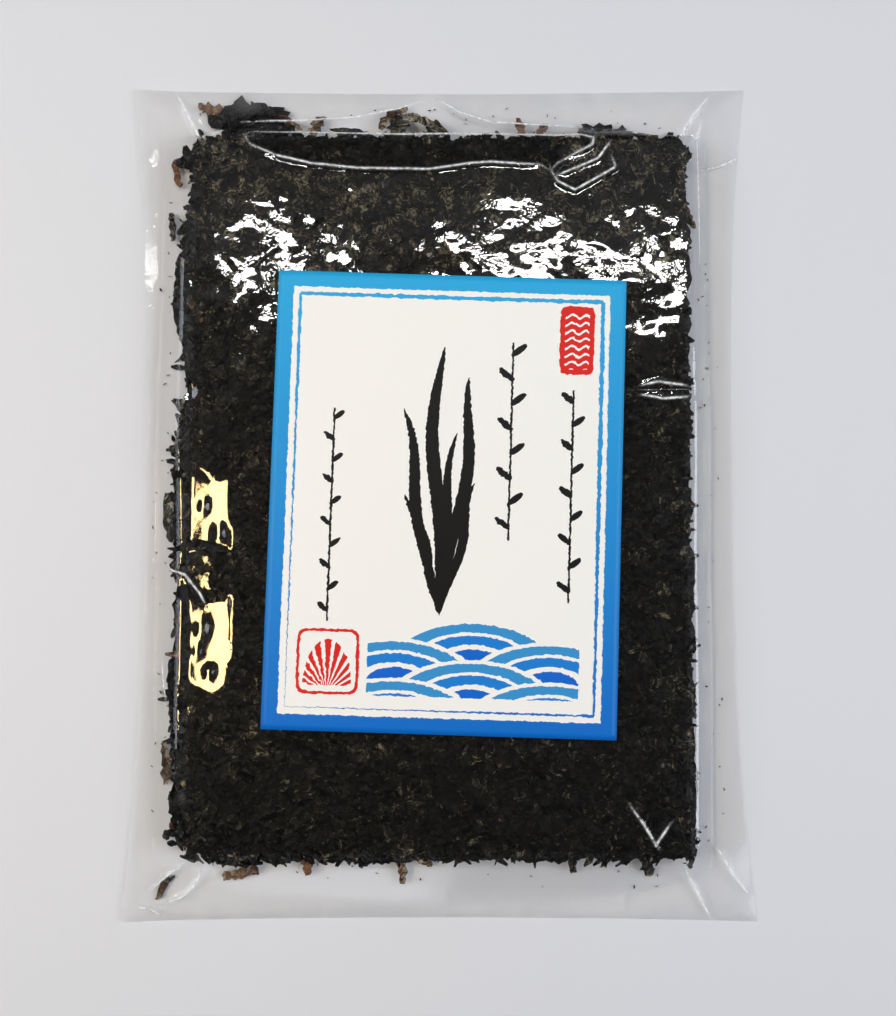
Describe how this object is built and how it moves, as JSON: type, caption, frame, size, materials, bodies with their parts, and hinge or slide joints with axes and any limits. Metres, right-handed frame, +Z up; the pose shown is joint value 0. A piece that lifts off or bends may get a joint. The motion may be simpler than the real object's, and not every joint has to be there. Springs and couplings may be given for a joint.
{
  "type": "rock nori in a film bag",
  "caption": "Flat pack of dried rock nori: a stack of felted seaweed sheets in a clear sealed film bag with a paper label stuck on its front, lying on its back.",
  "frame": {"origin": "on the surface that the pack lies on, under the middle of the bag's outline", "axes": "+Z up out of the label, +Y along the pack's length towards the top of the label, +X across it to the label's right"},
  "size_m": [0.193, 0.258, 0.0109],
  "materials": {
    "nori": "dried seaweed, satin with small glints",
    "film": "clear polypropylene film, glossy",
    "label_paper": "coated label paper, printed in blue, red and black"
  },
  "bodies": {
    "root": {"back_film": "film", "front_film": "film", "nori_sheet_1": "nori", "nori_sheet_2": "nori", "nori_sheet_3": "nori", "nori_sheet_4": "nori", "loose_blade": "nori", "label": "label_paper"}
  },
  "joints": []
}
